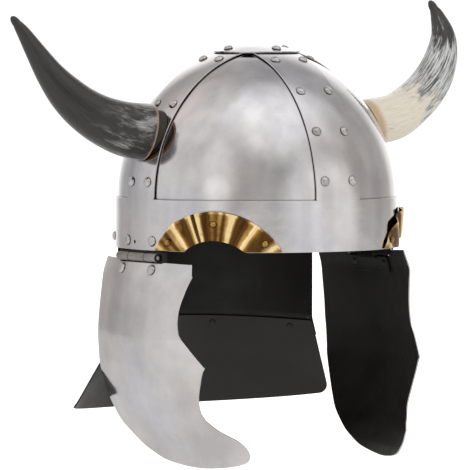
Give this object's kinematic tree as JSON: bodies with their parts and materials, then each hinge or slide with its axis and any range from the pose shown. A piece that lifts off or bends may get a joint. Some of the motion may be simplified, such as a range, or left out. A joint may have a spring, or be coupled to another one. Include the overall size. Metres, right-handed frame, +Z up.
{
  "type": "viking helmet",
  "caption": "Horned spangenhelm of riveted steel with brass brow crescents, hinged cheek flaps and a flared neck guard, open below for the head.",
  "frame": {"origin": "centre of the head opening, in the plane of the brow band's lower rim, where the helmet sits on a head", "axes": "+Z up, -Y to the wearer's front, +X to the wearer's left"},
  "size_m": [0.3995, 0.2529, 0.348],
  "materials": {
    "steel": "satin polished outside, black painted inside",
    "rivet": "satin polished, hammered domes",
    "hinge": "dull steel, black painted inside",
    "brass": "polished, fluted",
    "dark_horn": "polished natural horn, near black with grey streaks",
    "pale_horn": "polished natural horn, cream with a dark tip",
    "plug": "black stained wood"
  },
  "bodies": {
    "helmet": {"brow_band": "steel", "rib_front": "steel", "rib_left": "steel", "rib_rear": "steel", "rib_right": "steel", "panel_front_left": "steel", "panel_front_right": "steel", "panel_rear_left": "steel", "panel_rear_right": "steel", "crown_plate": "steel", "brow_crescent_left": "brass", "brow_crescent_right": "brass", "horn_left": "pale_horn", "horn_plug_left": "plug", "horn_right": "dark_horn", "horn_plug_right": "plug", "nape_plate": "steel", "nape_flare": "steel", "hinge_band_leaf_left": "hinge", "hinge_band_leaf_right": "hinge", "hinge_pin_left": "hinge", "hinge_pin_right": "hinge", "crown_rivet_front": "rivet", "crown_rivet_left": "rivet", "crown_rivet_rear": "rivet", "crown_rivet_right": "rivet", "rib_rivet_front_1": "rivet", "rib_rivet_front_2": "rivet", "rib_rivet_front_3": "rivet", "rib_rivet_front_4": "rivet", "rib_rivet_front_5": "rivet", "rib_rivet_front_6": "rivet", "rib_rivet_front_7": "rivet", "rib_rivet_front_8": "rivet", "rib_rivet_rear_1": "rivet", "rib_rivet_rear_2": "rivet", "rib_rivet_rear_3": "rivet", "rib_rivet_rear_4": "rivet", "rib_rivet_rear_5": "rivet", "rib_rivet_rear_6": "rivet", "rib_rivet_rear_7": "rivet", "rib_rivet_rear_8": "rivet", "rib_rivet_left_1": "rivet", "rib_rivet_left_2": "rivet", "rib_rivet_left_3": "rivet", "rib_rivet_left_4": "rivet", "rib_rivet_left_5": "rivet", "rib_rivet_left_6": "rivet", "rib_rivet_right_1": "rivet", "rib_rivet_right_2": "rivet", "rib_rivet_right_3": "rivet", "rib_rivet_right_4": "rivet", "rib_rivet_right_5": "rivet", "rib_rivet_right_6": "rivet"},
    "flap_left": {"cheek_flap_left": "steel", "hinge_flap_leaf_left": "hinge"},
    "flap_right": {"cheek_flap_right": "steel", "hinge_flap_leaf_right": "hinge"}
  },
  "joints": [
    {"name": "flap_left_hinge", "type": "hinge", "parent": "helmet", "child": "flap_left", "pos_m": [0.107, 0, -0.005], "axis": [0, -1, 0], "range_deg": [-8, 100]},
    {"name": "flap_right_hinge", "type": "hinge", "parent": "helmet", "child": "flap_right", "pos_m": [-0.107, 0, -0.005], "axis": [0, 1, 0], "range_deg": [-8, 100]}
  ]
}
